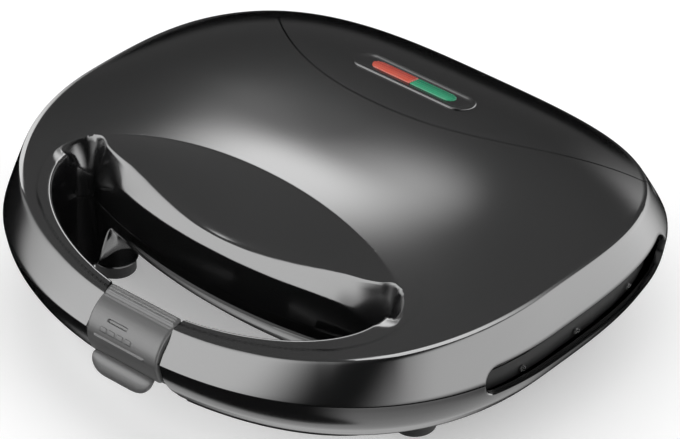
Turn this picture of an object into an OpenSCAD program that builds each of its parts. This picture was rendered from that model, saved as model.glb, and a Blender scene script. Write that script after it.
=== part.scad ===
// Sandwich toaster with two hinged halves, a bow handle and a swinging front latch.
// Millimetres, +Z up, feet on z = 0, front (handle) towards -Y.

/* [Body] */
// overall width at the widest line
body_width = 240; // [225:1:255]
// from the widest line forward to the front of the bow
front_depth = 104.2; // [98:0.1:110]
// from the widest line back to the rear wall
rear_depth = 111.7; // [106:0.1:116]
// y of the widest line
widest_y = -5.8; // [-8:0.1:-4]
// roundness of the front half of the outline, 2 is an ellipse
front_power = 2.24; // [2:0.01:2.8]
// roundness of the rear half of the outline
rear_power = 3.27; // [2.6:0.01:3.8]
// height of the joint line between base and lid
parting_z = 40; // [39:0.5:41]
// wall of both casings
wall = 2.5; // [2:0.1:2.8]

/* [Lid dome] */
// top of the dome
dome_z = 77; // [75:0.5:80]
// height of the band's upper edge at the front
band_front_z = 50.2; // [49:0.1:52]
// height of the band's upper edge at the widest line
band_side_z = 60.9; // [59:0.1:62]
// height of the band's upper edge at the rear
band_rear_z = 53.3; // [52:0.1:55]
// how far the band leans in at its upper edge
band_lean = 8; // [7:0.1:9]

/* [Base pan] */
// height of the flat underside
pan_z = 7; // [6:0.5:8]
// height of the foot bosses' undersides
foot_top_z = 5; // [4.5:0.5:5.5]
// foot radius
foot_r = 8; // [7:0.5:9]

/* [Side gaps] */
// lower edge of the gap along each side
gap_low_z = 33.6; // [33:0.1:35]
// upper edge of the gap along each side
gap_high_z = 45.5; // [44.5:0.1:46]
// y of the gap's front end
gap_front_y = -42; // [-46:1:-38]
// y of the gap's rear end
gap_rear_y = 70; // [66:1:74]
// how far in the frames sit behind the gap
gap_inset = 6; // [5:0.5:7]

/* [Handle] */
// half width of the finger opening
grip_half = 79; // [76:1:81]
// y of the opening's ends
grip_end_y = -56; // [-58:1:-54]
// depth of the opening forward of its ends
grip_front = 40.2; // [39:0.1:41]
// y of the opening's rear wall in the middle
grip_rear_y = -60.9; // [-62:0.1:-60]
// radius of the opening's rear wall
grip_rear_r = 220; // [205:5:240]
// height of the edge where the hollow behind the opening meets its rear wall
recess_edge_z = 55.1; // [54:0.1:56]
// height of the hollow's floor just behind that edge
recess_floor_z = 61.3; // [60:0.1:62]
// how far behind the opening's ends the hollow reaches in the lid
recess_reach = 28.5; // [26:0.5:30]
// the same for the scooped front underside of the base
scoop_reach = 18; // [16:0.5:20]
// radius of both hollows, seen from above
recess_arc_r = 312; // [290:2:330]

/* [Hinge] */
// y of the hinge axis
hinge_y = 107; // [106.5:0.1:108]
// z of the hinge axis
hinge_z = 32; // [31:0.5:33]
// hinge pin diameter
hinge_pin_d = 4; // [3.5:0.1:4.5]
// radius of the hinge knuckles
knuckle_r = 5.8; // [5.4:0.1:6]
// x of each hinge's middle
hinge_x = 36; // [34:1:40]
// radial running clearance of the pins
pin_clear = 0.05; // [0.02:0.01:0.1]

/* [Latch] */
// half width of the latch
latch_half = 17.4; // [16:0.2:18]
// gap between the latch and the bow each side
latch_gap = 0.8; // [0.6:0.1:1]
// y of the latch pin
latch_pin_y = -98.5; // [-99:0.1:-98]
// z of the latch pin
latch_pin_z = 49; // [48.6:0.1:49.2]
// latch pin diameter
latch_pin_d = 2.5; // [2:0.1:2.8]

/* [Hot plates] */
// width of the frames beside the plates at the widest line
frame_side = 22; // [20:0.5:24]
// from the finger opening's rear wall back to the plates
frame_ahead = 20.9; // [19:0.1:23]
// from the plates back to the rear wall
frame_behind = 23.9; // [22:0.1:27]
// corner radius of the plates
plate_r = 18; // [16:0.5:20]
// gap between plate and frame all round
plate_clear = 0.5; // [0.3:0.1:0.8]
// z of the lower plate's top face
plate_top_z = 39.6; // [39.4:0.1:39.7]
// z of the lower tubs' undersides
tub_z = 27; // [26.5:0.5:28]
// wall of the cast plates
plate_wall = 2; // [1.6:0.1:2.2]
// heating tube diameter
heater_d = 6.5; // [6:0.1:6.6]

/* [Frames] */
// z of the lower frame's top face
frame_top_z = 39.7; // [39.5:0.1:39.8]
// thickness of both frames
frame_t = 2.2; // [2:0.1:2.4]
// how far the casing walls draw in over that thickness
frame_lean = 1; // [0.9:0.1:1.2]
// thickness of the skirt that closes the side gaps
skirt_t = 1.8; // [1.6:0.1:2]
// gap between frame edge and casing wall
frame_clear = 0.2; // [0.1:0.05:0.3]

/* [Screws] */
// shank diameter of the case screws
screw_d = 2.8; // [2.5:0.1:3]
// head diameter of the case screws
screw_head_d = 5.4; // [5:0.1:5.8]
// length of the case screws under their heads
screw_l = 6; // [5:0.5:6.5]

/* [Lamps] */
// y of the lamp window
lamp_y = 52.4; // [50:0.1:54]
// z of the lamp window's middle
lamp_z = 73.9; // [73.5:0.1:74.2]
// tilt of the lamp window with the dome
lamp_tilt = 10.7; // [9:0.1:12]
// width of the lamp window across its round ends
lamp_r = 7; // [6.5:0.1:7.5]
// half distance between the round ends' centres
lamp_half = 21.8; // [20:0.1:24]
// length of each lens
lens_l = 19.6; // [18:0.1:20]
// width of each lens
lens_w = 6.6; // [6:0.1:7]

/* [Cord inlet] */
// diameter of the bore that the supply cord passes
inlet_d = 7.4; // [6.8:0.1:8]
// z of the inlet
inlet_z = 24; // [22:0.5:26]

/* [View] */
// piece to show

/* [Hidden] */
$fn = 48;
N = 64;
half_w = body_width / 2;
front_y = widest_y - front_depth;
rear_y = widest_y + rear_depth;
plate_w = body_width - 2 * frame_side;
plate_d = rear_y - frame_behind - grip_rear_y - frame_ahead;
plate_y = grip_rear_y + frame_ahead + plate_d / 2;
cell_w = plate_w / 2 - 12.5;
cell_d = plate_d - 10;
loop_w = plate_w / 2 - 23;
loop_d = plate_d / 2 - 19;
shield_w = 2 * (loop_w + 9);
shield_d = 2 * (loop_d + 8);
gap_cut = wall + 2.5;
skirt_out = gap_inset + 0.6;
frame_low_z = frame_top_z - frame_t;
flange_low_z = frame_low_z - 2.6;
sheet_z = tub_z - heater_d - 0.5;
mirror_z = 2 * parting_z;
black = [0.13, 0.13, 0.13];
dark = [0.2, 0.2, 0.2];
steel = [0.75, 0.75, 0.76];
alu = [0.22, 0.21, 0.2];
band_f = [0, 0.3, 0.65, 1];
band_i = [for (f = band_f) f * f];
dome_s = [0.955, 0.89, 0.79, 0.66, 0.48, 0.26];
pan_rings = [[40, 0], [34, 1.2], [28, 4], [23.5, 7.4], [18.4, 12], [13, 19], [9, 27], [7, 36]];
post_x = half_w - 32;
post_xy = [[post_x, -71], [-post_x, -71], [36, front_y + 11.8], [-36, front_y + 11.8],
    [half_w - 54, rear_y - 16.9], [54 - half_w, rear_y - 16.9],
    [17, rear_y - 13.9], [-17, rear_y - 13.9]];
rest_x = plate_w / 2 - 3;
rest_xy = [for (x = [-rest_x, rest_x], y = [plate_y - 37, plate_y + 33]) [x, y]];
foot_xy = [[44 - half_w, -36], [half_w - 44, -36], [50 - half_w, rear_y - 43.9], [half_w - 50, rear_y - 43.9]];
boss_y = [plate_y - 34, plate_y + 34];

// ---- outline maths ----
function spow(v, e) = sign(v) * pow(abs(v), e);
function power_at(t) = sin(t) < 0 ? front_power : rear_power;
function depth_at(t) = sin(t) < 0 ? front_depth : rear_depth;
function edge(t, inset, s = 1) = [
    s * (half_w - inset) * spow(cos(t), 2 / power_at(t)),
    widest_y + s * (depth_at(t) - inset) * spow(sin(t), 2 / power_at(t))
];
function band_z(t) = band_side_z
    - (band_side_z - (sin(t) < 0 ? band_front_z : band_rear_z)) * pow(abs(sin(t)), 4 / power_at(t));
// how flat the dome is on the way from its top to the band: fuller behind, leaner in front
function dome_flat(v) = 0.33 + 0.58 * 4 * v / sqrt(1 + 16 * v * v);
function at(p, z) = [p[0], p[1], z];
function lid_ring(k, off) = [for (i = [0:N - 1]) let (t = i * 360 / N)
    at(edge(t, band_lean * band_i[k] + off), parting_z + (band_z(t) - off - parting_z) * band_f[k])];
function dome_ring(s, off) = [for (i = [0:N - 1]) let (t = i * 360 / N)
    at(edge(t, band_lean + off, s),
        band_z(t) - off + (dome_z - band_z(t)) * (1 - s * s)
            * (1 + s * s * dome_flat(s * spow(sin(t), 2 / power_at(t)))))];
function flat_ring(z, inset) = [for (i = [0:N - 1]) at(edge(i * 360 / N, inset), z)];
function turned(f, up) = up ? f : [for (i = [len(f) - 1:-1:0]) f[i]];

// closed solid through rings of N points, capped flat at the first and to a tip at the last
module stack(rings, tip, up) {
    m = len(rings);
    faces = concat(
        [[for (i = [0:N - 1]) i]],
        [for (k = [0:m - 2], i = [0:N - 1]) [k * N + i, (k + 1) * N + i, (k + 1) * N + (i + 1) % N]],
        [for (k = [0:m - 2], i = [0:N - 1]) [k * N + i, (k + 1) * N + (i + 1) % N, k * N + (i + 1) % N]],
        [for (i = [0:N - 1]) [(m - 1) * N + i, m * N, (m - 1) * N + (i + 1) % N]]
    );
    polyhedron([for (r = rings) each r, tip], [for (f = faces) turned(f, up)]);
}

module lid_solid(off, start_z) {
    stack(concat([flat_ring(start_z, off)], off > 0 ? [lid_ring(0, off)] : [],
        [for (k = [1:3]) lid_ring(k, off)], [for (s = dome_s) dome_ring(s, off)]),
        [0, widest_y, dome_z - off], true);
}

module pan_solid(off, start_z) {
    stack(concat([flat_ring(start_z, off)],
        [for (k = [off > 0 ? 0 : 1:len(pan_rings) - 1]) flat_ring(pan_rings[k][0] + (k > 3 ? off : 0),
            pan_rings[k][1] + off)]),
        [0, widest_y, pan_z + off], false);
}

module outline(inset) {
    polygon([for (i = [0:N - 1]) edge(i * 360 / N, inset)]);
}

// finger opening, seen from above, grown by g
module grip_plan(g) {
    w = grip_half + g;
    lip = [for (i = [0:24]) let (a = -180 + i * 7.5)
        [w * spow(cos(a), 2 / 1.9), grip_end_y + (grip_front + g) * spow(sin(a), 2 / 1.9)]];
    back = [for (i = [0:12]) let (x = (grip_half - 4) * (1 - i / 6))
        [x, grip_rear_y + grip_rear_r - sqrt(pow(grip_rear_r, 2) - x * x) + g]];
    polygon(concat(lip, [[w - 0.6, grip_end_y + 5 + g * 0.6]], back, [[-w + 0.6, grip_end_y + 5 + g * 0.6]]));
}

module grip_cut(g, z0, z1) {
    translate([0, 0, z0]) linear_extrude(z1 - z0) grip_plan(g);
}

// plan of a hollow behind the opening, reaching back from the opening's ends
module hollow_plan(g, reach) {
    polygon(concat([for (a = [0:7.5:180]) [(grip_half + g) * spow(cos(a), 2 / 2.2),
        grip_end_y + (reach + g) * spow(sin(a), 2 / 2.2)]], [[-60, grip_end_y - 10], [60, grip_end_y - 10]]));
}

// profile points [distance behind the rear wall, height] turned round a far centre
module hollow_cut(g, reach, points) {
    intersection() {
        translate([0, grip_rear_y + recess_arc_r, 0]) rotate([0, 0, -110]) rotate_extrude(angle = 40, $fn = 96)
            polygon([for (p = points) [recess_arc_r - p[0] - g, p[1]]]);
        translate([0, 0, -10]) linear_extrude(110) union() {
            grip_plan(g);
            hollow_plan(g, reach);
        }
    }
}

// hollow that the fingers reach over, behind the opening in the lid
module recess_cut(g) {
    e = recess_edge_z - g;
    f = recess_floor_z - g;
    hollow_cut(g, recess_reach, [[35, 90], [34, f + 15], [30.5, f + 11.3], [25.5, f + 7.7], [17.5, f + 3.9],
        [6.1, f], [0, e], [-40, e], [-40, 90]]);
}

// front underside of the base, rounded up to the opening
module scoop_cut(g) {
    b = pan_z + g;
    hollow_cut(g, scoop_reach, [[0, 60], [0, b + 25], [2.4, b + 15], [8, b + 7], [17.5, b], [20, b - 12],
        [-40, -5], [-40, 60]]);
}

// long round-ended gap along both sides, back to the given inset
module side_gap(inset) {
    r = (gap_high_z - gap_low_z) / 2;
    difference() {
        translate([-140, 0, gap_low_z + r]) rotate([0, 90, 0]) linear_extrude(280) union() {
            translate([-r, gap_front_y + r]) square([2 * r, gap_rear_y - gap_front_y - 2 * r]);
            translate([0, gap_front_y + r]) circle(r);
            translate([0, gap_rear_y - r]) circle(r);
        }
        translate([0, 0, 20]) linear_extrude(40) outline(inset);
    }
}

module rod_x(x0, x1, y, z, r) {
    translate([x0, y, z]) rotate([0, 90, 0]) cylinder(h = x1 - x0, r = r);
}

module rod_y(x, y0, y1, z, r) {
    translate([x, y1, z]) rotate([90, 0, 0]) cylinder(h = y1 - y0, r = r);
}

module rod_z(x, y, z0, z1, r) {
    translate([x, y, z0]) cylinder(h = z1 - z0, r = r);
}

module bar_x(x0, x1) {
    translate([x0, 0, 0]) rotate([90, 0, 90]) linear_extrude(x1 - x0) children();
}

module flip() {
    translate([0, 0, mirror_z]) mirror([0, 0, 1]) children();
}

module both() {
    children();
    mirror([1, 0, 0]) children();
}

module box_r(w, d, r, h) {
    linear_extrude(h) rounded(w, d, r);
}

module rounded(w, d, r) {
    polygon([for (q = [0:3], i = [0:6]) let (a = q * 90 + i * 15)
        [(q == 0 || q == 3 ? 1 : -1) * (w / 2 - r) + r * cos(a), (q < 2 ? 1 : -1) * (d / 2 - r) + r * sin(a)]]);
}

// ---- casings ----
module hinge_bores() {
    both() rod_x(hinge_x - 20, hinge_x + 20, hinge_y, hinge_z, hinge_pin_d / 2 + pin_clear);
}

module lower_casing() color(black) difference() {
    union() {
        difference() {
            union() {
                pan_solid(0, parting_z);
                for (p = foot_xy) rod_z(p[0], p[1], foot_top_z, 14, foot_r + 1);
                rod_y(0, 92, 104, inlet_z, 10);
            }
            difference() {
                pan_solid(wall, parting_z + 1);
                for (p = post_xy) rod_z(p[0], p[1], 0, frame_low_z, 3.4);
                for (p = rest_xy) rod_z(p[0], p[1], 0, flange_low_z, 2.9);
                rod_y(0, 96, 104, inlet_z, 10);
                scoop_cut(wall);
                translate([-latch_half - 5.6, -120, 0]) cube([2 * latch_half + 11.2, 30, 60]);
            }
            scoop_cut(0);
            side_gap(gap_cut);
            both() {
                rod_x(hinge_x - 8, hinge_x + 8, hinge_y, hinge_z, knuckle_r + 0.6);
                translate([hinge_x - 8, hinge_y - 6.6, hinge_z]) cube([16, 20, 20]);
            }
            bar_x(-latch_half - latch_gap, latch_half + latch_gap) polygon([[-120, 14], [-96, 19.5],
                [-98.8, 23.5], [-102.4, 27.5], [-103.6, 29], [-103.6, 33.4], [-104.9, 34.2], [-104.9, 42], [-120, 42]]);
            for (p = post_xy) rod_z(p[0], p[1], frame_low_z - screw_l - 0.6, frame_low_z + 1, screw_d / 2 + 0.05);
        }
        both() for (x = [hinge_x - 14, hinge_x + 8]) {
            rod_x(x, x + 6, hinge_y, hinge_z, knuckle_r);
            bar_x(x, x + 6) translate([hinge_y, hinge_z]) polygon([[-6.4, 5.2], [-6.4, -6], [-5.2, -7.4], [1.5, -5.6],
                [0, 0], [0, knuckle_r]]);
        }
    }
    hinge_bores();
    rod_y(0, 90, 110, inlet_z, 6.2);
    rod_y(0, 88, 96, inlet_z, 7.8);
    for (p = foot_xy) rod_z(p[0], p[1], 0, foot_top_z + 3.2, 2.55);
}

module upper_casing() color(black) difference() {
    union() {
        difference() {
            lid_solid(0, parting_z);
            difference() {
                lid_solid(wall, parting_z - 1);
                for (p = post_xy) rod_z(p[0], p[1], mirror_z - frame_low_z, 90, 3.4);
                for (p = rest_xy) rod_z(p[0], p[1], mirror_z - flange_low_z, 90, 2.9);
                recess_cut(wall);
                grip_cut(wall, 30, 60);
                translate([-latch_half - 5.6, -120, 30]) cube([2 * latch_half + 11.2, 30, 60]);
            }
            recess_cut(0);
            grip_cut(0, 30, 60);
            side_gap(gap_cut);
            bar_x(-latch_half - latch_gap, latch_half + latch_gap) polygon([[-120, 38], [-105, 38], [-104.9, 42],
                [-103, 44.2], [-100.8, 45.4], [-90, 45.4], [-90, 60], [-120, 60]]);
            for (p = post_xy) rod_z(p[0], p[1], mirror_z - frame_low_z - 1, mirror_z - frame_low_z + screw_l + 0.6,
                screw_d / 2 + 0.05);
            lamp_place() stadium(lamp_r + 0.15, lamp_half, -8, 8);
        }
        both() {
            rod_x(hinge_x - 7.6, hinge_x + 7.6, hinge_y, hinge_z, knuckle_r);
            bar_x(hinge_x - 7.6, hinge_x + 7.6) translate([hinge_y, hinge_z]) polygon([[-2.5, 0], [-5.2, 8.3],
                [-7.4, 13], [-9.4, 17.5], [-8.2, 18.3], [-5.6, 15.3], [-2.2, 11.2], [2.4, 7], [5.3, 2]]);
        }
    }
    hinge_bores();
    rod_x(-21.5, 21.5, latch_pin_y, latch_pin_z, latch_pin_d / 2 + 0.02);
}

// ---- frames that close each half round its plate ----
module half_frame() {
    difference() {
        union() {
            translate([0, 0, frame_low_z]) linear_extrude(frame_t) outline(wall + frame_lean + frame_clear);
            translate([0, 0, frame_low_z - 5.5]) linear_extrude(5.5) difference() {
                intersection() {
                    outline(skirt_out);
                    translate([-150, gap_front_y - 6]) square([300, gap_rear_y - gap_front_y + 12]);
                }
                outline(skirt_out + skirt_t);
            }
        }
        translate([0, plate_y, 20]) box_r(plate_w + 2 * plate_clear, plate_d + 2 * plate_clear,
            plate_r + plate_clear, 30);
        grip_cut(wall + frame_clear, 20, 50);
        translate([-latch_half - 6, -120, 20]) cube([2 * latch_half + 12, 30, 30]);
        side_gap(skirt_out);
        for (p = post_xy) {
            rod_z(p[0], p[1], 20, 50, screw_d / 2 + 0.2);
            rod_z(p[0], p[1], frame_top_z - 1.6, 50, screw_head_d / 2 + 0.2);
        }
        both() translate([hinge_x - 8.6, hinge_y - 7.6, 20]) cube([17.2, 20, 40]);
    }
}

module lower_frame() color(dark) difference() {
    half_frame();
    for (y = rivet_y) both() rod_x(100, 122, y, frame_low_z - 3.2, 0.8);
}
rivet_y = [-20, 10, 44];

module upper_frame() color(dark) flip() half_frame();

function side_x(y, inset) = (half_w - inset) * pow(1 - pow(abs((y - widest_y)
    / ((y < widest_y ? front_depth : rear_depth) - inset)), y < widest_y ? front_power : rear_power),
    1 / (y < widest_y ? front_power : rear_power));

module side_rivets() color(steel) for (y = rivet_y) both() {
    x = side_x(y, skirt_out);
    rod_x(x - 2.6, x + 0.4, y, frame_low_z - 3.2, 0.75);
    rod_x(x + 0.4, x + 1.1, y, frame_low_z - 3.2, 1.5);
}

// ---- hot plates: two cells, each split into two triangular pockets ----
function corner(c, a0, a1, r, z) = [for (i = [0:4]) let (a = a0 + (a1 - a0) * i / 4)
    [c[0] + r * cos(a), c[1] + r * sin(a), z]];

// rounded triangle with its square corner at the origin's lower left
function tri(r, z) = let (g = atan2(cell_d, cell_w), i = 7)
    concat(corner([i, i], 180, 270, r, z), corner([cell_w - i - 11, i], 270, 450 - g, r, z),
        corner([i, cell_d - i - 14], 90 - g, 180, r, z));

module pocket(g) {
    z = [plate_top_z + (g > 0 ? -3 : 1), plate_top_z - 2, tub_z + plate_wall + 3, tub_z + plate_wall + 0.8, tub_z + plate_wall - g];
    r = [6.6, 6.2, 5.2, 4, 2.6];
    m = 15;
    zz = g > 0 ? [z[0], tub_z + 5, tub_z + 1.2, tub_z] : [z[0], z[1], z[2], z[3], tub_z + plate_wall];
    rr = g > 0 ? [6.4 + g, 5.3 + g, 4 + g, 2.6 + g] : r;
    k = len(zz);
    pts = [for (j = [0:k - 1]) each tri(rr[j], zz[j])];
    polyhedron(pts, concat([[for (i = [m - 1:-1:0]) i]],
        [for (j = [0:k - 2], i = [0:m - 1]) [j * m + i, j * m + (i + 1) % m, (j + 1) * m + (i + 1) % m]],
        [for (j = [0:k - 2], i = [0:m - 1]) [j * m + i, (j + 1) * m + (i + 1) % m, (j + 1) * m + i]],
        [[for (i = [0:m - 1]) (k - 1) * m + i]]));
}

module pockets(g) {
    for (sx = [0, 1], sy = [0, 1]) mirror([sx, 0, 0]) translate([sy == 0 ? 4.5 : 4.5 + cell_w,
        plate_y + (sy == 0 ? -1 : 1) * cell_d / 2, 0]) rotate([0, 0, sy * 180]) pocket(g);
}

module half_plate() {
    difference() {
        union() {
            translate([0, 0, flange_low_z]) linear_extrude(frame_low_z - flange_low_z) intersection() {
                outline(skirt_out + skirt_t + plate_clear);
                translate([0, plate_y]) rounded(plate_w + 6, plate_d + 6, plate_r + 3);
            }
            translate([0, plate_y, frame_low_z]) box_r(plate_w, plate_d, plate_r, plate_top_z - frame_low_z);
            pockets(plate_wall);
            for (y = boss_y) rod_z(0, y, sheet_z, flange_low_z + 1, 3.4);
        }
        pockets(0);
        for (y = boss_y) rod_z(0, y, sheet_z - 1, sheet_z + 9, screw_d / 2 + 0.05);
    }
}

module lower_plate() color(alu) half_plate();
module upper_plate() color(alu) flip() half_plate();

// ---- heaters: one bent tube under each plate ----
bend_r = 14;
tail_x = 16;
tail_y = plate_y + loop_d + 14;
module bend(x, y, a, r = bend_r) {
    translate([x, y, 0]) rotate([0, 0, a]) rotate_extrude(angle = 90, $fn = 48)
        translate([r, 0]) circle(heater_d / 2, $fn = 20);
}

module half_heater() {
    z = tub_z - heater_d / 2;
    translate([0, plate_y, z]) {
        rod_x(-loop_w + bend_r, loop_w - bend_r, -loop_d, 0, heater_d / 2, $fn = 20);
        both() {
            bend(loop_w - bend_r, -loop_d + bend_r, -90);
            rod_y(loop_w, -loop_d + bend_r, loop_d - bend_r, 0, heater_d / 2, $fn = 20);
            bend(loop_w - bend_r, loop_d - bend_r, 0);
            rod_x(tail_x + 6, loop_w - bend_r, loop_d, 0, heater_d / 2, $fn = 20);
            bend(tail_x + 6, loop_d + 6, 180, 6);
            rod_y(tail_x, loop_d + 6, loop_d + 9, 0, heater_d / 2, $fn = 20);
            rod_y(tail_x, loop_d + 9, loop_d + 14, 0, 1.6);
        }
    }
}

module lower_heater() color(steel) half_heater();
module upper_heater() color(steel) flip() half_heater();

module half_shield() {
    difference() {
        union() {
            translate([0, plate_y, sheet_z - 0.6]) box_r(shield_w, shield_d, 20, 0.6);
            translate([0, plate_y, sheet_z]) linear_extrude(5.8) difference() {
                rounded(shield_w, shield_d, 20);
                rounded(shield_w - 1.2, shield_d - 1.2, 19.4);
            }
        }
        for (y = boss_y) rod_z(0, y, sheet_z - 2, sheet_z + 1, screw_d / 2 + 0.2);
        both() translate([tail_x - 4, plate_y + 44, sheet_z + 0.2]) cube([8, 10, 9]);
    }
}

module lower_heat_shield() color(steel) half_shield();
module upper_heat_shield() color(steel) flip() half_shield();

module screw(x, y, seat, up, length) {
    rod_z(x, y, up ? seat : seat - length, up ? seat + length : seat, screw_d / 2, $fn = 24);
    difference() {
        rod_z(x, y, up ? seat - 1.5 : seat, up ? seat : seat + 1.5, screw_head_d / 2, $fn = 24);
        for (a = [0, 90]) translate([x, y, up ? seat - 1.5 : seat + 1.5]) rotate([0, 0, a]) cube([3, 0.7, 1.4], center = true);
    }
}

module half_plate_screws() {
    for (y = boss_y) screw(0, y, sheet_z - 0.6, true, 8);
}

module half_frame_screws() {
    for (p = post_xy) screw(p[0], p[1], frame_top_z - 1.6, false, screw_l);
}

module lower_plate_screws() color(steel) half_plate_screws();
module upper_plate_screws() color(steel) flip() half_plate_screws();
module lower_frame_screws() color(steel) half_frame_screws();
module upper_frame_screws() color(steel) flip() half_frame_screws();

// ---- parts inside the base ----
module thermostat() color([0.55, 0.5, 0.42]) translate([28, plate_y - 23, tub_z]) {
    rod_z(0, 0, -4.4, 0, 8);
    rod_z(0, 0, -6.2, -4.4, 5.5);
    for (s = [-1, 1]) translate([s * 8 - 2, -1.5, -5.4]) cube([4, 3, 1]);
}

module thermal_fuse() color(steel) translate([-26, plate_y - 24, tub_z - 2.2]) {
    rod_y(0, -7, 7, 0, 2.2);
    rod_y(0, -13, 13, 0, 0.5);
}

module terminal_block() color([0.85, 0.83, 0.75]) difference() {
    translate([-21, 32, pan_z + wall]) cube([42, 12, 8.2]);
    for (x = [-16, 0, 16]) {
        rod_z(x, 38, pan_z + wall + 3, pan_z + wall + 9, 2.2);
        rod_y(x, 31, 45, pan_z + wall + 4, 1.3);
    }
}

// wire on straight runs along the axes, a ball at each corner
module wire(x, points, r) {
    for (i = [0:len(points) - 2]) let (a = points[i], b = points[i + 1]) {
        if (a[1] == b[1]) rod_y(x, min(a[0], b[0]), max(a[0], b[0]), a[1], r);
        if (a[0] == b[0]) rod_z(x, a[0], min(a[1], b[1]), max(a[1], b[1]), r);
        if (i > 0) translate([x, a[0], a[1]]) sphere(r * 1.15);
    }
}

floor_z = pan_z + wall + 4;
heat_z = tub_z - heater_d / 2;
lead_z = mirror_z - sheet_z + 1.9;
module lower_leads() color([0.7, 0.68, 0.62]) for (x = [-tail_x, tail_x]) wire(x, [[38.5, floor_z], [48, floor_z],
    [48, floor_z + 1.7], [tail_y + 1.5, floor_z + 1.7], [tail_y + 1.5, heat_z], [tail_y + 0.1, heat_z]], 1.2, $fn = 16);

module upper_leads() color([0.7, 0.68, 0.62]) for (x = [-tail_x, tail_x]) wire(x, [[tail_y + 0.1, mirror_z - heat_z],
    [tail_y + 1.2, mirror_z - heat_z], [tail_y + 1.2, mirror_z - heat_z + 3.35], [tail_y - 2.5, mirror_z - heat_z + 3.35],
    [tail_y - 2.5, lead_z], [lamp_y + 1, lead_z], [lamp_y + 1, lead_z + 2.5]], 1, $fn = 16);

module cord_gland() color(dark) difference() {
    union() {
        rod_y(0, 96, 104, inlet_z, 6.1);
        rod_y(0, 104, 107, inlet_z, 8.4);
        rod_y(0, 107, 111, inlet_z, 6.4);
        rod_y(0, 94.4, 96, inlet_z, 7.6);
    }
    rod_y(0, 90, 115, inlet_z, inlet_d / 2);
}

module cord_clamp() color(dark) difference() {
    translate([-13, 54, pan_z + wall]) cube([26, 8, 7]);
    rod_y(0, 50, 66, pan_z + wall, 3.6);
    for (x = [-8.6, 8.6]) {
        rod_z(x, 58, pan_z, 30, 1.4);
        rod_z(x, 58, pan_z + wall + 5.5, 30, 2.4);
    }
}

module cord_clamp_screws() color(steel) for (x = [-8.6, 8.6]) {
    rod_z(x, 58, pan_z + wall, pan_z + wall + 5.5, 1.3);
    rod_z(x, 58, pan_z + wall + 5.5, pan_z + wall + 7, 2.3);
}

module foot(i) color([0.1, 0.1, 0.1]) {
    rod_z(foot_xy[i][0], foot_xy[i][1], 0, foot_top_z, foot_r);
    rod_z(foot_xy[i][0], foot_xy[i][1], foot_top_z, foot_top_z + 3, 2.5);
}
module foot_front_left() foot(0);
module foot_front_right() foot(1);
module foot_rear_left() foot(2);
module foot_rear_right() foot(3);

module hinge_pin(s) color(steel) rod_x(s * hinge_x - 14, s * hinge_x + 14, hinge_y, hinge_z, hinge_pin_d / 2);
module hinge_pin_left() hinge_pin(-1);
module hinge_pin_right() hinge_pin(1);

// ---- lamps ----
module lamp_place() {
    translate([0, lamp_y, lamp_z]) rotate([-lamp_tilt, 0, 0]) children();
}

module stadium(r, h, z0, z1) {
    translate([0, 0, z0]) linear_extrude(z1 - z0) union() {
        square([2 * h, 2 * r], center = true);
        translate([-h, 0]) circle(r);
        translate([h, 0]) circle(r);
    }
}

module lamp_carrier() color(black) lamp_place() difference() {
    stadium(lamp_r, lamp_half, -7.5, 0.6);
    stadium(lamp_r - 1.2, lamp_half, -1.2, 2);
    for (s = [-1, 1]) {
        translate([s * 10.5, 0, 0]) cube([lens_l + 0.2, lens_w + 0.2, 6], center = true);
        translate([s * 10.5, 0, -6]) cube([17.4, 5.4, 8], center = true);
    }
}

module lens(s) {
    lamp_place() translate([s * 10.5, 0, 0]) {
        translate([-lens_l / 2, -lens_w / 2, -3]) cube([lens_l, lens_w, 2.8]);
        for (i = [0:6]) translate([-lens_l / 2 + 1.4 + i * 2.8, 0, -0.2]) rotate([90, 0, 0])
            linear_extrude(lens_w, center = true) polygon([[-1.4, 0], [1.4, 0], [0, 0.9]]);
    }
}
module red_lens() color([0.8, 0.1, 0.08]) lens(-1);
module green_lens() color([0.1, 0.6, 0.25]) lens(1);

module lamp(s) color([0.9, 0.75, 0.6]) lamp_place() {
    rod_x(s * 10.5 - 6, s * 10.5 + 6, 0, -5.45, 2.45, $fn = 24);
    translate([s * 10.5 - 6, 0, -5.45]) sphere(2.45, $fn = 24);
}
module power_lamp() lamp(-1);
module ready_lamp() lamp(1);

// ---- latch ----
module latch_pin() color(steel) rod_x(-21, 21, latch_pin_y, latch_pin_z, latch_pin_d / 2);

module latch_spring() color(steel) {
    for (i = [0:5]) translate([-3.5 + i * 1.4, latch_pin_y, latch_pin_z]) rotate([0, 90, 0]) rotate_extrude($fn = 24)
        translate([latch_pin_d / 2 + 0.45, 0]) circle(0.4, $fn = 10);
    rod_x(-3.9, 3.9, latch_pin_y, latch_pin_z - latch_pin_d / 2 - 0.9, 0.35, $fn = 12);
    translate([3.5, latch_pin_y + 0.3, 45.4]) cylinder(h = 2.2, r = 0.4, $fn = 12);
}

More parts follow.
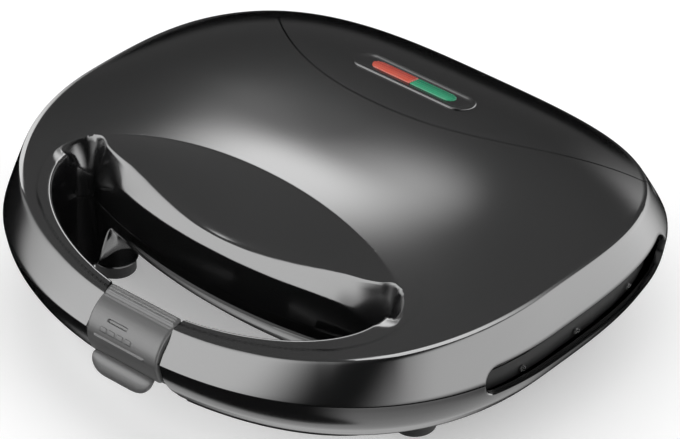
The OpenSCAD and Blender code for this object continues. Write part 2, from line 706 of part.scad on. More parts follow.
module latch() color([0.3, 0.3, 0.3]) difference() {
    union() {
        bar_x(-latch_half, latch_half) polygon([[-96, 53], [-97.2, 52.6], [-102, 50.6], [-106.7, 47], [-109.5, 43.3],
            [-110.5, 40], [-110, 35.5], [-108.8, 31.4], [-107.6, 30.2], [-105.3, 30], [-105.3, 32.6], [-106.3, 33.6],
            [-107.1, 36.4], [-107.4, 40], [-106.5, 42.4], [-104.2, 45], [-101.2, 47], [-98.5, 46.1], [-95.8, 48],
            [-95.6, 51.6]]);
        bar_x(-latch_half + 4, latch_half - 4) polygon([[-107.9, 33], [-109.6, 33], [-111.8, 30.6], [-113, 27.8],
            [-112.9, 25.6], [-111.4, 24.4], [-109.2, 24.6], [-108, 26.4], [-107.4, 30.4]]);
        rod_x(-latch_half, latch_half, latch_pin_y, latch_pin_z, 3);
        for (i = [0:2]) bar_x(-latch_half + 2, latch_half - 2) translate([-98.6 - 1.6 * i, 52.05 - 0.66 * i]) circle(0.4, $fn = 16);
        bar_x(-latch_half + 5, latch_half - 5) translate([-110.2, 37.2]) circle(0.7, $fn = 16);
    }
    rod_x(-25, 25, latch_pin_y, latch_pin_z, latch_pin_d / 2 + pin_clear);
    translate([-5, latch_pin_y - 3.2, 40]) cube([10, 12, 11.2]);
}

lower_casing();
lower_frame();
lower_plate();
lower_heater();
lower_heat_shield();
lower_plate_screws();
lower_frame_screws();
thermostat();
thermal_fuse();
terminal_block();
lower_leads();
cord_gland();
cord_clamp();
cord_clamp_screws();
foot_front_left();
foot_front_right();
foot_rear_left();
foot_rear_right();
hinge_pin_left();
hinge_pin_right();
side_rivets();
upper_casing();
upper_frame();
upper_plate();
upper_heater();
upper_heat_shield();
upper_plate_screws();
upper_frame_screws();
upper_leads();
lamp_carrier();
red_lens();
green_lens();
power_lamp();
ready_lamp();
latch_pin();
latch_spring();
latch();
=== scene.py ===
import bmesh
import bpy
import math
import numpy as np
from mathutils import Matrix, Vector


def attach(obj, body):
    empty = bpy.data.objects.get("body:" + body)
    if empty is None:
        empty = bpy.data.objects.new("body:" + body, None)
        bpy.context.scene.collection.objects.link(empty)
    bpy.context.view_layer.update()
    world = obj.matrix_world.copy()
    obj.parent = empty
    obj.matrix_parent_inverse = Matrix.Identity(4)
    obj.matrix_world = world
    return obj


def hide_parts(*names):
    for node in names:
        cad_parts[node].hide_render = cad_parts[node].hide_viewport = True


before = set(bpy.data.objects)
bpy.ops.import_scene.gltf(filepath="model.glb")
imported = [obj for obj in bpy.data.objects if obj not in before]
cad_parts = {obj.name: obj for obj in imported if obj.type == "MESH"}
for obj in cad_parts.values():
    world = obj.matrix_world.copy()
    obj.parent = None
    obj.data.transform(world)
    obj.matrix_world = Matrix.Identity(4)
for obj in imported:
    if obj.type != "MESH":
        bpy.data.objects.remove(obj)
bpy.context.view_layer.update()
mm = 0.001  # sizes below are in millimetres, meshes in metres

camera = {
    "azimuth": 42.3, "elevation": 34.77, "distance": 1.5832, "roll": -1.0,
    "target": (0, -0.0058, 0.0439), "lens": 223.5, "sensor": 36,
    "opticalCentre": (313.2, 212.7), "photo": (680, 439),
}


def makeCamera():
    az, el, roll = (math.radians(camera[k]) for k in ("azimuth", "elevation", "roll"))
    back = Vector((math.sin(az) * math.cos(el), -math.cos(az) * math.cos(el), math.sin(el)))
    level = Vector((math.cos(az), math.sin(az), 0))
    right = level * math.cos(roll) + back.cross(level) * math.sin(roll)
    up = back.cross(right)
    data = bpy.data.cameras.new("camera")
    wide, high = camera["photo"]
    data.lens, data.sensor_width = camera["lens"], camera["sensor"]
    data.shift_x = (wide / 2 - camera["opticalCentre"][0]) / wide
    data.shift_y = (camera["opticalCentre"][1] - high / 2) / wide
    data.clip_end = 50
    holder = bpy.data.objects.new("camera", data)
    place = Matrix((right, up, back)).transposed().to_4x4()
    place.translation = Vector(camera["target"]) + back * camera["distance"]
    holder.matrix_world = place
    bpy.context.scene.collection.objects.link(holder)
    bpy.context.scene.camera = holder


makeCamera()
print("camera set")


class Value:  # one shader socket; arithmetic on it adds Math nodes
    def __init__(self, shade, socket):
        self.shade, self.socket = shade, socket

    def math(self, operation, *others):
        return self.shade.add("ShaderNodeMath", {"operation": operation}, dict(enumerate((self, *others))))

    def __add__(self, other): return self.math("ADD", other)
    def __sub__(self, other): return self.math("SUBTRACT", other)
    def __mul__(self, other): return self.math("MULTIPLY", other)
    def __truediv__(self, other): return self.math("DIVIDE", other)
    def __pow__(self, other): return self.math("POWER", other)

    def __rsub__(self, other):
        return self.shade.add("ShaderNodeMath", {"operation": "SUBTRACT"}, {0: other, 1: self})

    __radd__, __rmul__ = __add__, __mul__

    def between(self, low, high, start=0.0, end=1.0):
        return self.shade.add("ShaderNodeMapRange", {"interpolation_type": "SMOOTHSTEP"},
                              {0: self, 1: low, 2: high, 3: start, 4: end})


class Shade:  # a material on one Principled shader
    def __init__(self, name, **constants):
        self.material = bpy.data.materials.new(name)
        self.material.use_nodes = True
        self.tree = self.material.node_tree
        self.shader = self.tree.nodes["Principled BSDF"]
        for key, value in constants.items():
            self.shader.inputs[key.replace("_", " ")].default_value = value
        self.place = self.add("ShaderNodeTexCoord", {}, {}, "Object")

    def add(self, kind, settings, inputs, output=0):
        node = self.tree.nodes.new(kind)
        for key, value in settings.items():
            setattr(node, key, value)
        for key, value in inputs.items():
            if isinstance(value, Value):
                self.tree.links.new(value.socket, node.inputs[key])
            else:
                node.inputs[key].default_value = value
        return Value(self, node.outputs[output])

    def put(self, key, value):
        self.tree.links.new(value.socket, self.shader.inputs[key])

    def noise(self, scale, detail=2.0, stretch=(1, 1, 1), roughness=0.5):
        at = self.add("ShaderNodeMapping", {}, {"Vector": self.place, "Scale": stretch})
        return self.add("ShaderNodeTexNoise", {}, {"Vector": at, "Scale": scale, "Detail": detail,
                                                   "Roughness": roughness})

    def axes(self):
        parts = self.add("ShaderNodeSeparateXYZ", {}, {0: self.place})
        return [Value(self, parts.socket.node.outputs[k]) for k in range(3)]

    def blend(self, factor, first, second):
        return self.add("ShaderNodeMix", {"data_type": "RGBA"}, {0: factor, 6: first, 7: second}, 2)

    def bump(self, height, strength, distance):
        self.put("Normal", self.add("ShaderNodeBump", {}, {"Height": height, "Strength": strength,
                                                           "Distance": distance}))


def grey(level, tint=0.0):
    return (level, level * (1 + tint * 0.5), level * (1 + tint), 1)


body = {
    "halfWidth": 120.0, "frontDepth": 104.2, "rearDepth": 111.7, "widestY": -5.8,
    "frontPower": 2.24, "rearPower": 3.27, "parting": 40.0, "wall": 2.5,
    "gapLow": 33.6, "gapHigh": 45.5, "gapFront": -42.0, "gapRear": 70.0,
    "gripHalf": 79.0, "gripEnd": -56.0, "gripFront": 40.2, "gripRear": -60.9, "gripRearRadius": 220.0,
    "columns": 150, "latchHalf": 18.2, "hingeColumns": (27.95, 28.1, 43.9, 44.05), "gripEndX": 71.0,
}


def halves(y):
    front = y < body["widestY"]
    depth = np.where(front, body["frontDepth"], body["rearDepth"])
    return depth, np.where(front, body["frontPower"], body["rearPower"])


def outline(turn, inset):
    side, ahead = np.cos(turn), np.sin(turn)
    depth, power = halves(np.where(ahead < 0, -999.0, 999.0))
    x = (body["halfWidth"] - inset) * np.sign(side) * np.abs(side) ** (2 / power)
    y = body["widestY"] + (depth - inset) * np.sign(ahead) * np.abs(ahead) ** (2 / power)
    return x, y


# How far out a point is, 1 on the outline drawn in by inset, and its part along y.
def share(x, y, inset):
    depth, power = halves(y)
    v = (y - body["widestY"]) / (depth - inset)
    s = (np.abs(x / (body["halfWidth"] - inset)) ** power + np.abs(v) ** power) ** (1 / power)
    return np.maximum(s, 1e-5), v


def insetAt(x, y):
    low, high = np.zeros_like(x), np.full_like(x, 95.0)
    for _ in range(22):
        middle = (low + high) / 2
        outside = share(x, y, middle)[0] > 1
        high, low = np.where(outside, middle, high), np.where(outside, low, middle)
    return (low + high) / 2


def smoothstep(x, low, high):
    t = np.clip((x - low) / (high - low), 0, 1)
    return t * t * (3 - 2 * t)


def softLower(a, b, width):
    h = np.clip(0.5 + 0.5 * (b - a) / width, 0, 1)
    return b * (1 - h) + a * h - width * h * (1 - h)


def curveThrough(points, steps=12):  # a smooth line through a few points
    p = np.array([points[0], *points, points[-1]], float)
    found = []
    for k in range(1, len(p) - 2):
        for t in np.linspace(0, 1, steps, endpoint=False):
            a, b, c, d = p[k - 1:k + 3]
            found.append(0.5 * (2 * b + (c - a) * t + (2 * a - 5 * b + 4 * c - d) * t ** 2
                                + (3 * b - a - 3 * c + d) * t ** 3))
    return np.array(found + [p[-2]])


def evenly(line, spots):  # points on a line at the given shares of its length
    steps = np.r_[0, np.cumsum(np.linalg.norm(np.diff(line, axis=0), axis=1))]
    return np.stack([np.interp(np.asarray(spots) * steps[-1], steps, line[:, k]) for k in range(line.shape[1])], 1)


def gripWall(x):
    r = body["gripRearRadius"]
    return body["gripRear"] + r - np.sqrt(r * r - np.clip(np.abs(x), 0, r) ** 2)


# Half of the finger opening's edge, from the front middle round the end to the rear middle.
def gripLine():
    a = np.radians(np.linspace(-90, 0, 60))
    lip = np.stack([body["gripHalf"] * np.cos(a) ** (2 / 1.9),
                    body["gripEnd"] - body["gripFront"] * (-np.sin(a)) ** (2 / 1.9)], 1)
    x = np.linspace(body["gripEndX"], 0, 40)
    end = curveThrough([lip[-1], (78.6, -52.3), (76.6, -49.6), (73.6, float(gripWall(73.6)) + 0.3),
                        (body["gripEndX"], float(gripWall(body["gripEndX"])))], 8)
    return np.concatenate([lip[:-1], end[:-1], np.stack([x, gripWall(x)], 1)])


# The right half of the outline in even steps, with columns of their own at the latch, the gap's ends and the hinges.
def columnTurns():
    turn = np.linspace(-math.pi / 2, math.pi / 2, 20001)
    x, y = outline(turn, 2.0)
    run = np.r_[0, np.cumsum(np.hypot(np.diff(x), np.diff(y)))]
    r = (body["gapHigh"] - body["gapLow"]) / 2
    arc = np.cos(np.radians([4.5, 18, 32, 46, 60, 75, 90]))
    ends = [body["gapFront"] + r - r * c for c in arc] + [body["gapRear"] - r + r * c for c in arc]
    own = [np.interp(v, x[:8000], run[:8000]) for v in (body["latchHalf"] - 0.05, body["latchHalf"] + 0.1)]
    own += [np.interp(v, y, run) for v in ends]
    own += [np.interp(-v, -x[12000:], run[12000:]) for v in body["hingeColumns"]]
    even = [s for s in np.linspace(0, run[-1], body["columns"]) if min(abs(s - o) for o in own) > 0.8]
    return np.interp(sorted(even + own), run, turn), np.array(sorted(even + own)) / run[-1]


turns, shares = columnTurns()
gripShares = np.interp(shares, [0, 0.05, 0.1, 0.15, 0.2, 0.3, 0.4, 0.5, 0.7, 1],
                       [0, 0.1035, 0.205, 0.298, 0.372, 0.455, 0.52, 0.575, 0.73, 1])
gripEdge = evenly(gripLine(), gripShares)
outerX = outline(turns, 0.0)[0]
atLatch = (outerX < body["latchHalf"] + 0.02) & (turns < 0)
gripEdge[turns < -1.2, 0] = np.where(outerX < 30, outerX, gripEdge[:, 0])[turns < -1.2]


# Height of a casing's edge along the side gap; side is 1 for the lid and -1 for the base.
def gapEdge(y, side):
    r, middle = (body["gapHigh"] - body["gapLow"]) / 2, (body["gapHigh"] + body["gapLow"]) / 2
    past = np.maximum(np.maximum(body["gapFront"] + r - y, y - body["gapRear"] + r), 0)
    reach = middle + side * np.sqrt(np.maximum(r * r - past ** 2, 0))
    inside = past < r
    return np.where(inside, np.maximum(side * reach, side * body["parting"]) * side, body["parting"])


def finish(bm, name, bodyName, material, replaces=(), smooth=35):
    bmesh.ops.recalc_face_normals(bm, faces=bm.faces)
    mesh = bpy.data.meshes.new(name)
    bm.to_mesh(mesh)
    bm.free()
    piece = bpy.data.objects.new(name, mesh)
    bpy.context.scene.collection.objects.link(piece)
    mesh.materials.append(material)
    mesh.shade_smooth()
    mesh.set_sharp_from_angle(angle=math.radians(smooth))
    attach(piece, bodyName)
    if replaces:
        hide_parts(*replaces)


def loopOf(half):  # a full ring from its right half
    other = half[-2:0:-1] * np.array([-1, 1, 1])
    return np.concatenate([half, other])


def nextRing(bm, ring, places):  # extrudes a ring once and puts it at the given places
    edges = [bm.edges.get((ring[k], ring[(k + 1) % len(ring)])) for k in range(len(ring))]
    made = {v for v in bmesh.ops.extrude_edge_only(bm, edges=edges)["geom"] if isinstance(v, bmesh.types.BMVert)}
    new = []
    for old, at in zip(ring, places):
        v = next(e.other_vert(old) for e in old.link_edges if e.other_vert(old) in made)
        v.co = at
        new.append(v)
    return new


def ringShell(rings, closed):  # a surface through rings; closed joins the last to the first
    bm = bmesh.new()
    first = bmesh.ops.create_circle(bm, cap_ends=False, radius=1, segments=len(rings[0]))["verts"]
    for v, at in zip(first, rings[0] * mm):
        v.co = at
    ring = first
    for places in rings[1:]:
        ring = nextRing(bm, ring, places * mm)
    if closed:
        last = nextRing(bm, ring, rings[0] * mm)
        bmesh.ops.weld_verts(bm, targetmap=dict(zip(last, first)))
    return bm


lid = {
    "top": 77.0, "bandFront": 50.2, "bandSide": 60.9, "bandRear": 53.3, "lean": 8.0,
    "bandPower": 1.1, "leanAt": [(0, 9.0), (50, 9.0), (80, 8.0), (100, 6.2), (120, 6.2)],  # by how far out a point lies
    "hollowHalf": 85.0, "hollowReach": 25.6, "hollowFront": 14.0, "hollowDepth": 7.9, "hollowPower": 1.5,
    "edgeAt": [(0, 56.4), (45, 56), (55, 55), (61, 52.5), (66, 49.6), (71, 48.5)], "edgeTop": 60.3, "edgeDeep": 3.1,
    "edgeEnd": [(-60, 66), (-56, 60.5), (-53, 56), (-50, 52), (-47, 48.5)], "lipRadius": 1.2, "wallRadius": 0.7,
    "edgeSpots": 1500, "edgeFree": 66, "edgeBlur": 30,  # points on the wall's line, a height that leaves the dome free
    "crease": ((0.35, 0.04), (0.8, 0.1), (1.6, 0.2), (2.6, 0.28)),  # rings past the crease: mm in, and a limit
    "brim": (1.0, 0.68, 0.42, 0.2, 0.06, 0.0),
    "notch": [(-105.0, 40.4), (-104.9, 42.0), (-103.0, 44.2), (-100.8, 45.4), (-97.4, 45.4)],
    "domeRings": 84, "bandRings": 12,
}


def bandTop(x, y):
    s, v = share(x, y, lid["lean"])
    end = np.where(y < body["widestY"], lid["bandFront"], lid["bandRear"])
    return lid["bandSide"] - (lid["bandSide"] - end) * (v / s) ** 2


def domeTop(x, y):
    s, v = share(x, y, lid["lean"])
    s, low = np.minimum(s, 1), bandTop(x, y)
    flat = 0.33 + 0.58 * 4 * v / np.sqrt(1 + 16 * v * v)
    return low + (lid["top"] - low) * (1 - s * s) * (1 + s * s * flat)


# The share of the hollow's reach at which a point lies: 1 on its rim.
def hollowShare(x, y):
    ahead = y - body["gripEnd"]
    reach = np.where(ahead > 0, lid["hollowReach"], lid["hollowFront"])
    return np.sqrt((x / lid["hollowHalf"]) ** 2 + (ahead / reach) ** 2)


def lidTop(x, y):  # the dome with the hollow round the opening
    inside = np.clip(1 - hollowShare(x, y), 0, 1)
    return domeTop(x, y) - lid["hollowDepth"] * (1 - (1 - inside) ** lid["hollowPower"])


def along(x, y, z):
    return np.stack([x, y, z], 1)


def onNotch(stack, line, low, high):  # puts the latch columns of these rings on the notch line
    path = evenly(np.array(line), np.linspace(0, 1, high - low))
    for k in range(low, high):
        stack[k][atLatch, 1], stack[k][atLatch, 2] = path[k - low]


def lidRings():
    wall, parting = body["wall"], body["parting"]
    leanX, leanBy = zip(*lid["leanAt"])
    lean = np.where(turns < 0, np.interp(outerX, leanX, leanBy), 6.2 + 0.8 * smoothstep(turns, 0.1, 0.6))
    bandX, bandY = outline(turns, lean)
    top = domeTop(bandX, bandY)
    low = gapEdge(outline(turns, 0.6)[1], 1)
    start = (low - parting) / (top - parting)
    reach = np.hypot(gripEdge[:, 0] - bandX, gripEdge[:, 1] - bandY)

    def bandRing(rise, extraIn=0.0, drop=0.0):
        inset = lean * rise ** lid["bandPower"] + extraIn
        depth, power = halves(np.where(turns < 0, -999.0, 999.0))
        x = (body["halfWidth"] - inset) * np.abs(np.cos(turns)) ** (2 / power)
        y = body["widestY"] + (depth - inset) * np.sign(turns) * np.abs(np.sin(turns)) ** (2 / power)
        return along(x, y, parting + (top - parting) * rise - drop)

    # Behind the opening a steep edge rises from its wall to the hollow: foot is its height along the wall's line,
    # steep its slope, and across how far each column runs square to the wall.
    tangent = np.gradient(gripEdge, axis=0)
    tangent /= np.linalg.norm(tangent, axis=1)[:, None]
    across = np.abs(tangent[:, 1] * (bandX - gripEdge[:, 0]) - tangent[:, 0] * (bandY - gripEdge[:, 1]))
    across = np.convolve(np.r_[[across[0]] * 5, across, [across[-1]] * 5], np.full(11, 1 / 11), "valid")
    across = np.clip(across, 0.6 * reach, reach)
    bow = np.arange(len(turns)) <= np.argmax(gripEdge[:, 0])
    spots, free, blur = lid["edgeSpots"], lid["edgeFree"], lid["edgeBlur"]
    wallLine = evenly(gripEdge, np.linspace(0, 1, spots))
    foot = np.interp(wallLine[:, 0], *zip(*lid["edgeAt"]))
    foot = np.where(wallLine[:, 0] > body["gripEndX"], np.interp(wallLine[:, 1], *zip(*lid["edgeEnd"])), foot)
    foot = np.where(np.arange(spots) <= np.argmax(wallLine[:, 0]), free, foot)
    weights = np.hanning(2 * blur + 3)[1:-1] / (blur + 1)
    foot = np.convolve(np.r_[[free] * blur, foot, [foot[-1]] * blur], weights, "valid")
    steep = np.maximum((lid["edgeTop"] - foot) / lid["edgeDeep"], 0.6)

    def surface(q):
        x = bandX + (gripEdge[:, 0] - bandX) * q
        y = bandY + (gripEdge[:, 1] - bandY) * q
        gap = np.hypot(x[:, None] - wallLine[:, 0], y[:, None] - wallLine[:, 1])
        near = gap.argmin(1)
        return x, y, softLower(lidTop(x, y), foot[near] + steep[near] * gap.min(1), 0.7)

    def domeRing(q, drop=0.0):
        x, y, z = surface(q)
        return along(x, y, z - drop)

    atRim, past = np.zeros_like(reach), np.ones_like(reach)  # where each column meets the hollow's rim
    for _ in range(24):
        half = (atRim + past) / 2
        out = hollowShare(*surface(half)[:2]) > 1
        atRim, past = np.where(out, half, atRim), np.where(out, past, half)

    step = 0.45 / (top - parting)
    rings = [bandRing(start, wall), bandRing(start, 0.45), bandRing(start, 0.13, -0.13)]
    rings += [bandRing(start + step + (1 - start - step) * t) for t in np.linspace(0, 1, lid["bandRings"])]
    corner = len(rings) - 1
    rings += [domeRing(np.minimum(d / reach, c)) for d, c in lid["crease"]]
    q0 = np.minimum(lid["crease"][-1][0] / reach, lid["crease"][-1][1])
    q1 = 1 - np.minimum(4.2 / np.maximum(across, 1), 0.4)
    qr = np.clip(atRim, q0 + 0.1, q1 - 0.12)
    n = lid["domeRings"]
    rings += [domeRing(q0 + (qr - q0) * t) for t in np.linspace(0, 1, n // 2)[1:-1]]
    rings += [domeRing(qr + d / reach) for d in (-0.5, 0, 0.5)]
    rings += [domeRing(qr + (q1 - qr) * t) for t in np.linspace(0, 1, n // 3)[1:]]
    radius = np.where(bow, lid["lipRadius"], lid["wallRadius"])
    q2 = 1 - np.minimum(radius / np.maximum(across, 1), 0.2)
    rings += [domeRing(q1 + (q2 - q1) * t) for t in (0.2, 0.3, 0.4, 0.55, 0.75)]
    for t in lid["brim"]:
        rings.append(domeRing(1 - (1 - q2) * t, radius * (1 - np.sqrt(1 - (1 - t) ** 2))))
    edge = len(rings)
    stack = np.array(rings)
    stack[corner] = stack[corner - 1] * 0.25 + stack[corner] * 0.5 + stack[corner + 1] * 0.25
    onNotch(stack, lid["notch"], 3, edge)
    stack[edge - 1][atLatch, :2] = gripEdge[atLatch]
    stack[edge - 1][atLatch, 2] = lid["notch"][-1][1] - 0.7
    rings = list(stack)
    brim = stack[edge - 1]
    for t in (0.35, 0.7, 1.0):  # the opening's wall, down to the joint
        rings.append(along(brim[:, 0], brim[:, 1], brim[:, 2] + (parting + 0.4 - brim[:, 2]) * t))
    inward = (along(bandX, bandY, top) - brim)[:, :2]
    inward = inward / np.linalg.norm(inward, axis=1)[:, None]
    back = np.minimum(wall, 0.3 * reach)[:, None]
    for d, z in ((0.4, parting), (None, parting)):
        at = brim[:, :2] + inward * (back if d is None else d)
        rings.append(along(at[:, 0], at[:, 1], np.full(len(at), z)))
    for t in np.linspace(1, 0, 14):
        x, y, z = surface(back[:, 0] / reach + (1 - 2 * back[:, 0] / reach) * t)
        rings.append(along(x, y, np.where(atLatch, parting + 0.3, np.maximum(z - wall, parting + 0.3))))
    for t in (0.7, 0.35):
        rings.append(bandRing(start + (1 - start) * t, wall))
        rings[-1][atLatch] = rings[-4][atLatch] if t == 0.7 else rings[-2][atLatch]
    return [loopOf(r) for r in rings]


base = {
    "side": [(0, 40), (1.2, 34), (4, 28), (7.4, 23.5), (12, 18.4), (19, 13), (27, 9), (36, 7), (60, 7)],
    "notch": [(-104.9, 39.6), (-104.9, 34.2), (-103.6, 33.4), (-103.6, 29.0), (-102.4, 27.5), (-98.8, 23.5),
              (-96.6, 19.8)],
    "hingeNotch": 26.2, "notchEnd": 0.4, "pan": 7.0, "rings": 92,  # the hinges' notch ends at this share of the way in
    "fine": 0.45, "travel": 110, "leanBack": (0.9, 0.9, 0.45),
    "scoop": [(0, 34), (0.8, 33.6), (1.6, 31.4), (4, 27.5), (8, 22.8), (14, 16.5), (23, 8), (26, 7)],
}
sideCurve = curveThrough(base["side"], 10)


def panHeight(x, y):  # the base's underside, with the scoop that rises to the opening's rear wall
    z = np.interp(insetAt(x, y), sideCurve[:, 0], sideCurve[:, 1])
    away = y - gripWall(x)
    rise = (np.interp(away, *zip(*base["scoop"])) - base["pan"]) * (1 - smoothstep(np.abs(x), 60, 77))
    return np.where(away > -0.6, -softLower(-z, -(base["pan"] + rise), 1.0), z)


def baseRings():
    wall, parting = body["wall"], body["parting"]
    outX, outY = outline(turns, 0.0)
    low = gapEdge(outline(turns, 0.6)[1], -1)
    notchFrom, notchTo = (round(v) for v in body["hingeColumns"][::3])
    low = np.where((turns > 0) & (outX > notchFrom) & (outX < notchTo), base["hingeNotch"], low)
    dip = np.interp(-low, -sideCurve[:, 1], sideCurve[:, 0])
    startX, startY = outline(turns, dip)
    start = np.hypot(startX - outX, startY - outY) / np.hypot(gripEdge[:, 0] - outX, gripEdge[:, 1] - outY)

    def ring(q):
        x, y = outX + (gripEdge[:, 0] - outX) * q, outY + (gripEdge[:, 1] - outY) * q
        return along(x, y, np.where(q > base["notchEnd"], panHeight(x, y), np.minimum(panHeight(x, y), low)))

    def topEdge(extraIn, drop):
        x, y = outline(turns, dip + extraIn)
        return along(x, y, low - drop)

    t = np.linspace(0, 1, base["rings"])
    spread = t ** 2.3 / (t ** 2.3 + (1 - t) ** 1.6)
    rings = [topEdge(wall, 0), topEdge(0.45, 0), topEdge(0.13, 0.13)]
    first = base["fine"] / base["travel"]
    rings += [ring(start + (1 - start) * (first * 0.2 + (1 - first * 0.2) * s)) for s in spread]
    edge = len(rings)
    stack = np.array(rings)
    onNotch(stack, base["notch"], 1, edge)
    stack[0][atLatch, 1], stack[0][atLatch, 2] = base["notch"][0][0] + 2, parting
    stack[1][atLatch, 1], stack[1][atLatch, 2] = base["notch"][0][0] + 0.4, parting
    stack[edge - 1][atLatch, :2] = gripEdge[atLatch]
    rings = list(stack)
    brim = stack[edge - 1]
    for t in (0.03, 0.5, 1.0):
        rings.append(along(brim[:, 0], brim[:, 1], brim[:, 2] + (parting - 0.4 - brim[:, 2]) * t))
    inward = np.stack([outX, outY], 1) - brim[:, :2]
    inward = inward / np.linalg.norm(inward, axis=1)[:, None]
    for k, by in enumerate(base["leanBack"], edge - 1):  # the opening's wall leans back at its foot
        rings[k][:, :2] += inward * by
    for d in (0.4, wall):
        at = brim[:, :2] + inward * d
        rings.append(along(at[:, 0], at[:, 1], np.full(len(at), parting)))
    inner, rim = brim[:, :2] + inward * wall, np.stack(outline(turns, wall + 1.5), 1)
    floor = np.minimum(np.maximum(brim[:, 2] + wall, panHeight(*inner.T) + wall), parting - 1)
    for t in np.linspace(0, 1, 12):
        x, y = (inner + (rim - inner) * t).T
        under = np.where(t < 0.6, parting - 1, low - 0.6)
        rings.append(along(x, y, np.minimum(np.maximum(panHeight(x, y) + wall, floor * (t == 0)), under)))
        rings[-1][atLatch, 2] = parting - 0.3
    return [loopOf(r) for r in rings]


def satinBlack(name, level=0.006, roughness=0.16):
    shade = Shade(name, IOR=1.95)
    broad, fine = shade.noise(22, 3), shade.noise(2600, 1)
    shade.put("Base Color", shade.blend(broad, grey(level * 0.85, 0.04), grey(level * 1.2, 0.04)))
    shade.put("Roughness", broad * 0.03 + fine * 0.02 + (roughness - 0.025))
    shade.bump(fine, 0.02, 0.00004)
    return shade


def lidPlastic():
    shade = satinBlack("lidBlack")
    x, y, z = shade.axes()
    line = 0.029 + ((x.math("ABSOLUTE") / 0.070) ** 2.3) * 0.0254
    behind = (y - line).between(-0.0005, 0.0005) * z.between(0.048, 0.052)
    shade.bump(1 - behind, 1.0, 0.0009)
    return shade.material


def framePlastic():
    shade = Shade("frameBlack", IOR=1.5)
    fine = shade.noise(1500, 2)
    shade.put("Base Color", shade.blend(fine, grey(0.014), grey(0.022)))
    shade.put("Roughness", 0.42 + fine * 0.16)
    shade.bump(fine, 0.25, 0.00006)
    return shade.material


def latchPlastic():
    shade = Shade("latchGrey", IOR=1.7)
    streak = shade.noise(420, 3, (0.06, 1, 1), 0.6)
    shade.put("Base Color", shade.blend(streak, grey(0.055), grey(0.105)))
    shade.put("Roughness", 0.36 + streak * 0.12)
    shade.bump(streak, 0.25, 0.00008)
    return shade.material


def nonStick():
    shade = Shade("nonStick", IOR=1.5)
    speck, broad = shade.noise(1700, 2), shade.noise(35, 3)
    shade.put("Base Color", shade.blend(speck.between(0.62, 0.7), grey(0.018), grey(0.07)))
    shade.put("Roughness", 0.34 + broad * 0.1 + speck * 0.06)
    shade.bump(speck, 0.2, 0.00005)
    return shade.material


def metal(name, level, roughness, tint=0.0, stretch=(1, 1, 1)):
    shade = Shade(name, Metallic=1.0)
    scratch, stain = shade.noise(900, 3, stretch), shade.noise(60, 4)
    shade.put("Base Color", shade.blend(stain, grey(level * 0.82, tint), grey(level, tint)))
    shade.put("Roughness", roughness + scratch * 0.12)
    shade.bump(scratch, 0.15, 0.00004)
    return shade.material


def plain(name, colour, roughness, grain=900):
    shade = Shade(name)
    fine = shade.noise(grain, 2)
    dark = tuple(c * 0.85 for c in colour)
    shade.put("Base Color", shade.blend(fine, (*dark, 1), (*colour, 1)))
    shade.put("Roughness", roughness - 0.04 + fine * 0.08)
    shade.bump(fine, 0.15, 0.00005)
    return shade.material


# The lamps: a tilted dish with a sloping inner wall, and two lenses with rounded ends and small pyramids on top.
lamps = {
    "y": 52.4, "tilt": 10.7, "half": 21.8,
    "bowl": [(6.6, -6.5), (6.9, -4), (7.0, -0.3), (6.95, 0.3), (6.7, 0.55), (6.4, 0.62), (6.1, 0.58), (5.2, 0.4),
             (4.4, 0.22), (3.7, 0.1), (3.4, 0.06), (2.4, 0.06)],
    "lensHalf": 3.3, "lensEnds": (0.12, 20.4), "slope": 0.8, "lift": 0.34, "pitch": 1.1, "pyramid": 0.3,
    "paintedLightFrom": 55.2, "paintedLightOver": 5.6,  # painted light: the lenses' colour turns lighter toward the front, over this length in y
}


# Lens colours with painted light: lighter toward the front and on the pyramid tips, darker in the valleys between them.
def lensPlastic(name, colour, paintedLitColour):
    shade = Shade(name, IOR=1.34, Coat_Weight=0.3, Coat_Roughness=0.1)
    x, y, z = shade.axes()
    step = lamps["pitch"] * mm
    column = ((x / step).math("FRACT") - 0.5).math("ABSOLUTE")
    slant = math.cos(math.radians(lamps["tilt"]))
    row = (((y - lamps["y"] * mm) / (step * slant)).math("FRACT") - 0.5).math("ABSOLUTE")
    # painted highlight and shade: the pyramids' tips are lighter and the valleys between them darker
    paintedTipLight = 1 - column.math("MAXIMUM", row) * 2.0
    # painted light: the colour turns lighter toward the lenses' front
    paintedFrontLight = (lamps["paintedLightFrom"] * mm - y).between(0.0, lamps["paintedLightOver"] * mm)
    # painted light and random tone together; this share also sets the roughness
    paintedLightAndTone = paintedFrontLight * 0.55 + paintedTipLight * 0.45 + shade.noise(900, 3) * 0.12 - 0.12
    shade.put("Base Color", shade.blend(paintedLightAndTone.math("MINIMUM", 1.0), (*colour, 1), (*paintedLitColour, 1)))
    shade.put("Roughness", 0.12 + paintedLightAndTone * 0.12)
    return shade.material


materials = {
    "lid": lidPlastic(), "casing": satinBlack("casingBlack").material, "frame": framePlastic(), "latch": latchPlastic(),
    "plate": nonStick(), "heater": metal("heaterSheath", 0.3, 0.38, -0.12), "sheet": metal("shieldSheet", 0.62, 0.3),
    "screw": metal("zincScrew", 0.6, 0.28), "steel": metal("brightSteel", 0.72, 0.2, 0, (1, 0.05, 1)),
    "brass": metal("thermostatCase", 0.5, 0.32, -0.35), "ceramic": plain("ceramicWhite", (0.7, 0.68, 0.6), 0.5),
    "sleeve": plain("leadSleeve", (0.6, 0.57, 0.5), 0.8, 2600),
    "inlet": plain("inletBlack", (0.022, 0.022, 0.023), 0.45),
    "foot": plain("footRubber", (0.018, 0.018, 0.018), 0.7, 1800),
    "dish": satinBlack("dishBlack", 0.008, 0.16).material,
    # each lens's second colour is the lighter colour of its painted light
    "red": lensPlastic("redLens", (0.33, 0.03, 0.02), (0.8, 0.13, 0.07)),
    "green": lensPlastic("greenLens", (0.0, 0.13, 0.065), (0.03, 0.46, 0.22)),
}
print("materials made")

finish(ringShell(lidRings(), True), "lidShell", "lid", materials["lid"], ("upper_casing",), 40)
print("lid shell made")
finish(ringShell(baseRings(), True), "baseShell", "base", materials["casing"], ("lower_casing",), 40)
print("base shell made")

